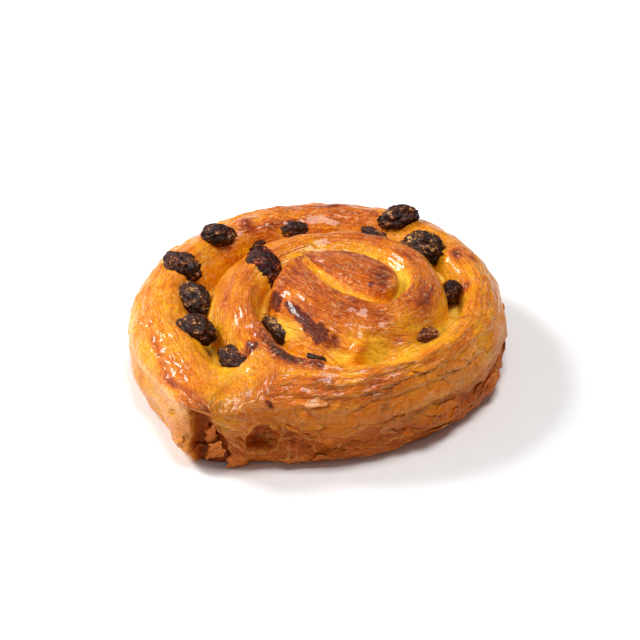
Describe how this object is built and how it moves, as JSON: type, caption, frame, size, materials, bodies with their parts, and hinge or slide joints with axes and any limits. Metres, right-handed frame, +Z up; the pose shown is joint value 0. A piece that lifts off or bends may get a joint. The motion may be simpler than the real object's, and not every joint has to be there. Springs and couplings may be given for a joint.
{
  "type": "raisin danish",
  "caption": "Baked swirl of laminated dough and custard with raisins along its spiral groove, resting flat.",
  "frame": {"origin": "on the flat foot, under the middle of the pastry's box", "axes": "+Z up through the swirl, -Y towards the picture's viewer, +X to the viewer's right; the loose end of the roll is at front left"},
  "size_m": [0.1106, 0.1056, 0.0334],
  "materials": {
    "crust": "golden brown egg-washed crust",
    "custard": "baked custard, satin",
    "raisin": "wrinkled dried fruit, satin"
  },
  "bodies": {
    "root": {"dough": "crust", "custard": "custard", "raisin_01": "raisin", "raisin_02": "raisin", "raisin_03": "raisin", "raisin_04": "raisin", "raisin_05": "raisin", "raisin_06": "raisin", "raisin_07": "raisin", "raisin_08": "raisin", "raisin_09": "raisin", "raisin_10": "raisin", "raisin_11": "raisin", "raisin_12": "raisin", "raisin_13": "raisin", "raisin_14": "raisin", "raisin_15": "raisin"}
  },
  "joints": []
}
